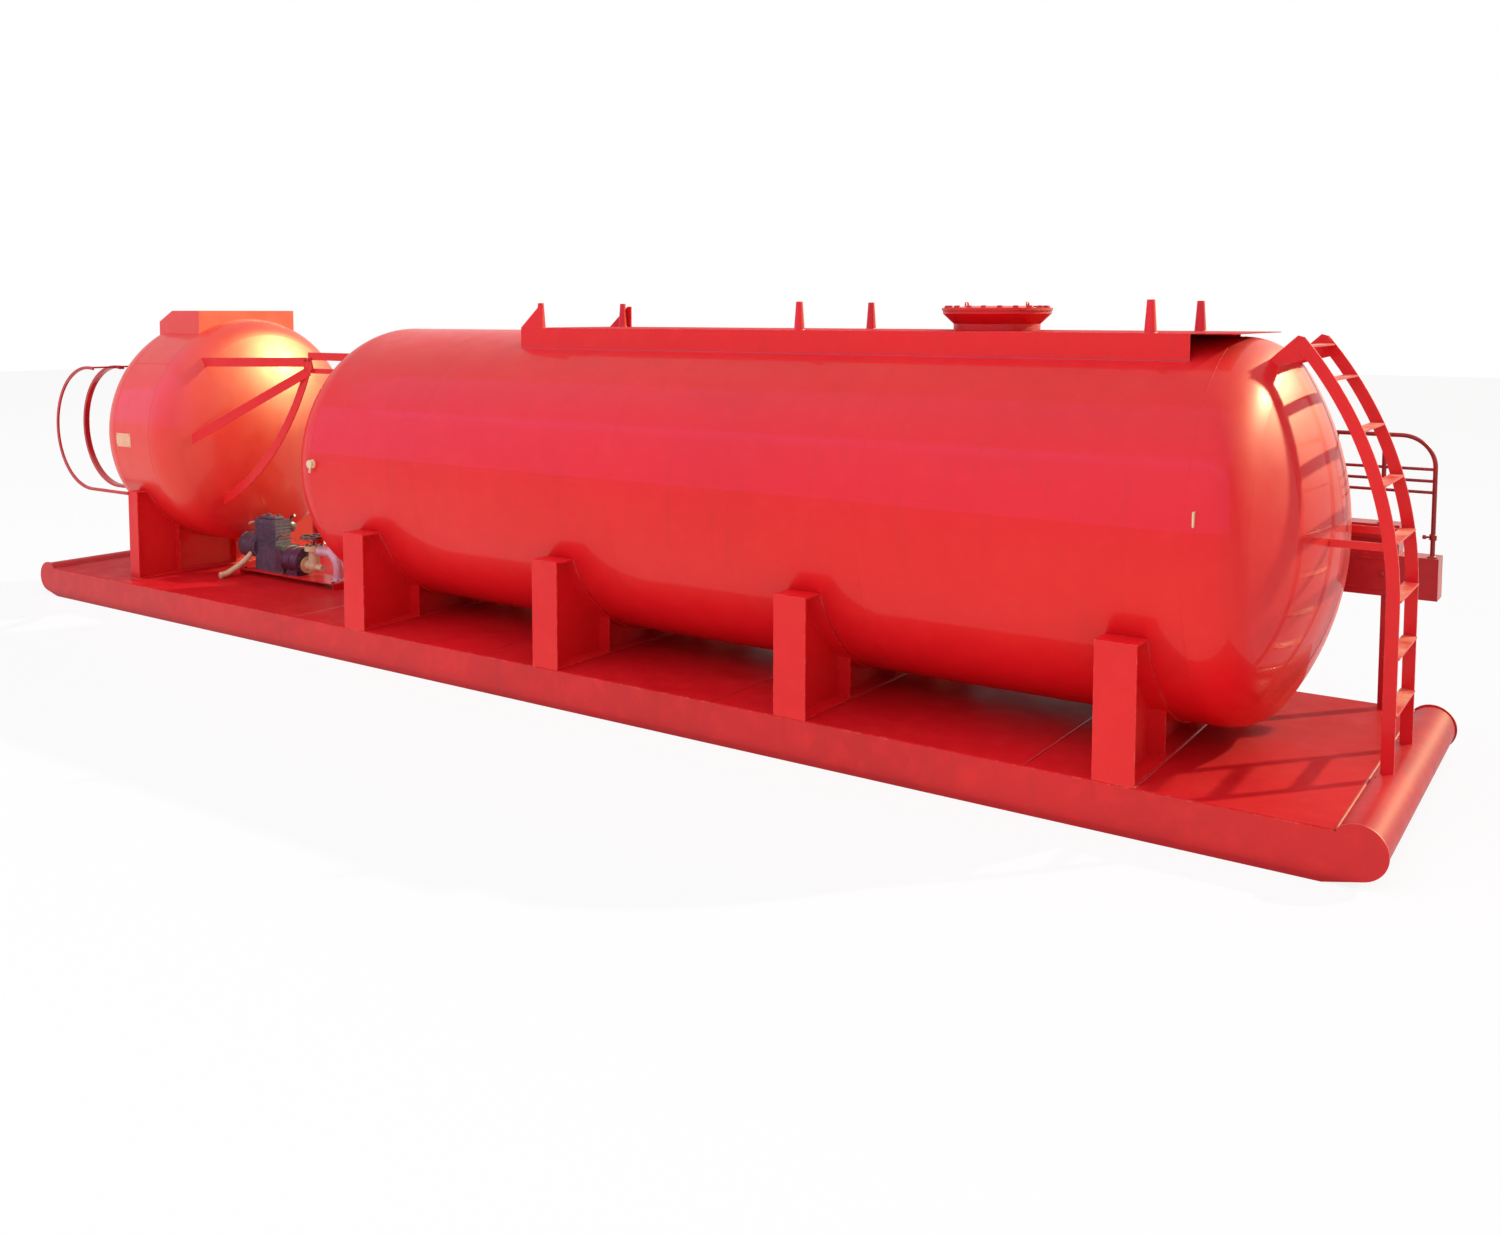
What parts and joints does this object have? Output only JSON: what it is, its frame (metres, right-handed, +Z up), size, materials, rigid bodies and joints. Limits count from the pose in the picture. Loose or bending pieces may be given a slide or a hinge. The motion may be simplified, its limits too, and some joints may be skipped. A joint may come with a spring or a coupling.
{
  "type": "skid-mounted horizontal diesel storage tank",
  "caption": "Long red horizontal tank and a short service vessel on a road-width skid, with curved end ladder, top walkways, hose rack, pump set and valve box.",
  "frame": {"origin": "on the ground at the middle of the skid's length and width", "axes": "+X along the tank from the service vessel to the ladder end, +Y to the rear side with the valve box, +Z up"},
  "size_m": [12.6218, 2.5, 2.945],
  "materials": {
    "red_paint": "gloss",
    "rack_paint": "gloss",
    "hoop_paint": "gloss",
    "engine_grey": "satin",
    "gearbox_green": "satin",
    "pump_slate": "satin",
    "pale_fitting": "satin",
    "pale_pipe": "satin",
    "wheel_metal": "satin"
  },
  "bodies": {
    "root": {"front_runner": "red_paint", "rear_runner": "red_paint", "centre_beams": "red_paint", "cross_members": "red_paint", "drag_pipes": "red_paint", "deck_plate": "red_paint", "saddle_1": "red_paint", "saddle_2": "red_paint", "saddle_3": "red_paint", "saddle_4": "red_paint", "tank_course_1": "red_paint", "tank_course_2": "red_paint", "tank_course_3": "red_paint", "tank_course_4": "red_paint", "tank_head_left": "red_paint", "tank_head_right": "red_paint", "walkway_front_plate": "red_paint", "walkway_rear_plate": "red_paint", "walkway_deck": "red_paint", "handrail_sockets": "red_paint", "manhole_neck": "red_paint", "manhole_cover": "red_paint", "ladder_front_stile": "red_paint", "ladder_rear_stile": "red_paint", "ladder_treads": "red_paint", "ladder_brackets": "red_paint", "vessel_shell": "red_paint", "vessel_head_left": "red_paint", "vessel_head_right": "red_paint", "vessel_saddle": "red_paint", "vessel_walkway_frame": "red_paint", "vessel_walkway_deck": "red_paint", "hose_rack": "rack_paint", "middle_landing": "red_paint", "landing_braces": "red_paint", "valve_box": "red_paint", "valve_box_post": "red_paint", "hand_hoop": "hoop_paint", "pump_base": "red_paint", "pump_engine": "engine_grey", "pump_gearbox": "gearbox_green", "pump_casing": "pump_slate", "pump_valve": "pale_fitting", "pump_discharge": "pale_pipe", "pump_handwheel": "wheel_metal"}
  },
  "joints": []
}
